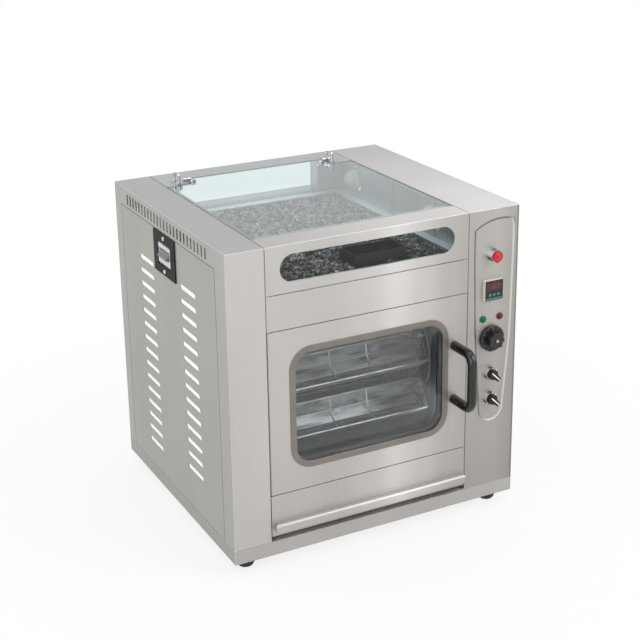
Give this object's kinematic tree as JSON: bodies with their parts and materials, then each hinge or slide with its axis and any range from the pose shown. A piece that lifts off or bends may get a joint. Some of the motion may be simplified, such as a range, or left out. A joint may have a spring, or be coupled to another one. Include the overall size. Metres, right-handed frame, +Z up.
{
  "type": "baked potato oven",
  "caption": "Countertop oven that bakes potatoes on a turning rack of hanging trays, with a glazed warming compartment on top and a drawer below.",
  "frame": {"origin": "centre of the footprint, on the surface that the feet stand on", "axes": "+X to the right seen from the front, +Y to the back, +Z up"},
  "size_m": [0.7194, 0.743, 0.7552],
  "materials": {
    "satin_steel": "satin, brushed upright",
    "front_steel": "satin, brushed upright",
    "cover_steel": "satin",
    "plain_steel": "plain sheet",
    "tub_steel": "bright sheet",
    "tray_steel": "bright sheet, lightly stained",
    "chrome": "polished",
    "oven_glass": "clear with a faint green tint",
    "black_rubber": "matt",
    "seal_rubber": "matt",
    "black_bakelite": "glossy",
    "black_plastic": "satin",
    "grey_plastic": "satin",
    "key_plastic": "matt",
    "cream_plastic": "satin",
    "red_lens": "glossy",
    "green_lens": "glossy",
    "dark_red_lens": "glossy",
    "white_fibre": "matt felt",
    "dark_stone": "rough",
    "black_enamel": "glossy enamel",
    "rim_metal": "satin",
    "lamp_glass": "frosted",
    "lamp_white": "glazed",
    "heater_metal": "dark oxide",
    "bronze": "plain",
    "motor_grey": "hammered"
  },
  "bodies": {
    "cabinet": {"base_pan": "plain_steel", "feet": "black_rubber", "left_casing": "satin_steel", "left_cover": "cover_steel", "right_casing": "satin_steel", "right_cover": "cover_steel", "insulation": "white_fibre", "rear_panel": "plain_steel", "cable_gland": "black_plastic", "front_fascia": "front_steel", "fascia_glass": "oven_glass", "blank_panel": "front_steel", "rear_frame": "satin_steel", "rear_glass": "oven_glass", "warming_tub": "tub_steel", "stones": "dark_stone", "stone_box": "black_enamel", "lamp_holders": "lamp_white", "lamp_globes": "lamp_glass", "lid_hinge_bases": "chrome", "oven_deck": "plain_steel", "oven_liner": "tub_steel", "heaters": "heater_metal", "shaft_bushes": "bronze", "gear_motor": "motor_grey", "door_hinge_brackets": "plain_steel", "door_seal": "seal_rubber", "drawer_runners": "plain_steel", "breaker_escutcheon": "black_plastic", "breaker_body": "grey_plastic", "button_collar": "chrome", "meter_case": "cream_plastic", "indicator_green": "green_lens", "indicator_red": "dark_red_lens", "timer_body": "black_plastic", "selector_bezels": "chrome"},
    "door": {"door_skin": "front_steel", "door_inner": "tub_steel", "door_glass": "oven_glass", "window_rim": "rim_metal", "door_handle": "black_bakelite"},
    "drawer": {"drawer": "front_steel"},
    "rack": {"rack_shaft": "plain_steel", "rack_discs": "plain_steel"},
    "tray_body_1": {"tray_1": "tray_steel"},
    "tray_body_2": {"tray_2": "tray_steel"},
    "tray_body_3": {"tray_3": "tray_steel"},
    "tray_body_4": {"tray_4": "tray_steel"},
    "tray_body_5": {"tray_5": "tray_steel"},
    "tray_body_6": {"tray_6": "tray_steel"},
    "lid": {"lid_glass": "oven_glass", "lid_clamps": "chrome"},
    "breaker": {"breaker_lever": "black_plastic"},
    "button": {"button_lens": "red_lens"},
    "dial": {"dial_knob": "black_bakelite"},
    "switch_upper": {"selector_upper": "black_plastic"},
    "switch_lower": {"selector_lower": "black_plastic"},
    "key_1": {"meter_key_1": "key_plastic"},
    "key_2": {"meter_key_2": "key_plastic"},
    "key_3": {"meter_key_3": "key_plastic"}
  },
  "joints": [
    {"name": "door_hinge", "type": "hinge", "parent": "cabinet", "child": "door", "pos_m": [-0.26, -0.28, 0.172], "axis": [0, 0, -1], "range_deg": [0, 95]},
    {"name": "drawer_slide", "type": "slide", "parent": "cabinet", "child": "drawer", "axis": [0, -1, 0], "range_m": [0, 0.42]},
    {"name": "rack_spin", "type": "hinge", "parent": "cabinet", "child": "rack", "pos_m": [-0.022, -0.0615, 0.353], "axis": [1, 0, 0], "continuous": true},
    {"name": "tray_1_swing", "type": "hinge", "parent": "rack", "child": "tray_body_1", "pos_m": [-0.022, -0.16109, 0.4105], "axis": [1, 0, 0], "continuous": true},
    {"name": "tray_2_swing", "type": "hinge", "parent": "rack", "child": "tray_body_2", "pos_m": [-0.022, -0.0615, 0.468], "axis": [1, 0, 0], "continuous": true},
    {"name": "tray_3_swing", "type": "hinge", "parent": "rack", "child": "tray_body_3", "pos_m": [-0.022, 0.03809, 0.4105], "axis": [1, 0, 0], "continuous": true},
    {"name": "tray_4_swing", "type": "hinge", "parent": "rack", "child": "tray_body_4", "pos_m": [-0.022, 0.03809, 0.2955], "axis": [1, 0, 0], "continuous": true},
    {"name": "tray_5_swing", "type": "hinge", "parent": "rack", "child": "tray_body_5", "pos_m": [-0.022, -0.0615, 0.238], "axis": [1, 0, 0], "continuous": true},
    {"name": "tray_6_swing", "type": "hinge", "parent": "rack", "child": "tray_body_6", "pos_m": [-0.022, -0.16109, 0.2955], "axis": [1, 0, 0], "continuous": true},
    {"name": "lid_hinge", "type": "hinge", "parent": "cabinet", "child": "lid", "pos_m": [-0.022, 0.2655, 0.736], "axis": [-1, 0, 0], "range_deg": [0, 85]},
    {"name": "breaker_throw", "type": "hinge", "parent": "cabinet", "child": "breaker", "pos_m": [-0.35, 0.0415, 0.6375], "axis": [0, 1, 0], "range_deg": [0, 56]},
    {"name": "button_press", "type": "slide", "parent": "cabinet", "child": "button", "axis": [0, 1, 0], "range_m": [0, 0.004], "stiffness_N_per_m": 400},
    {"name": "dial_turn", "type": "hinge", "parent": "cabinet", "child": "dial", "pos_m": [0.289, -0.2865, 0.427], "axis": [0, 1, 0], "range_deg": [0, 300]},
    {"name": "switch_upper_turn", "type": "hinge", "parent": "cabinet", "child": "switch_upper", "pos_m": [0.289, -0.2865, 0.341], "axis": [0, 1, 0], "range_deg": [0, 90]},
    {"name": "switch_lower_turn", "type": "hinge", "parent": "cabinet", "child": "switch_lower", "pos_m": [0.289, -0.2865, 0.28], "axis": [0, 1, 0], "range_deg": [0, 90]},
    {"name": "key_1_press", "type": "slide", "parent": "cabinet", "child": "key_1", "axis": [0, 1, 0], "range_m": [0, 0.0008], "stiffness_N_per_m": 300},
    {"name": "key_2_press", "type": "slide", "parent": "cabinet", "child": "key_2", "axis": [0, 1, 0], "range_m": [0, 0.0008], "stiffness_N_per_m": 300},
    {"name": "key_3_press", "type": "slide", "parent": "cabinet", "child": "key_3", "axis": [0, 1, 0], "range_m": [0, 0.0008], "stiffness_N_per_m": 300}
  ],
  "couplings": [
    {"joint": "tray_1_swing", "follows": "rack_spin", "ratio": -1},
    {"joint": "tray_2_swing", "follows": "rack_spin", "ratio": -1},
    {"joint": "tray_3_swing", "follows": "rack_spin", "ratio": -1},
    {"joint": "tray_4_swing", "follows": "rack_spin", "ratio": -1},
    {"joint": "tray_5_swing", "follows": "rack_spin", "ratio": -1},
    {"joint": "tray_6_swing", "follows": "rack_spin", "ratio": -1}
  ]
}
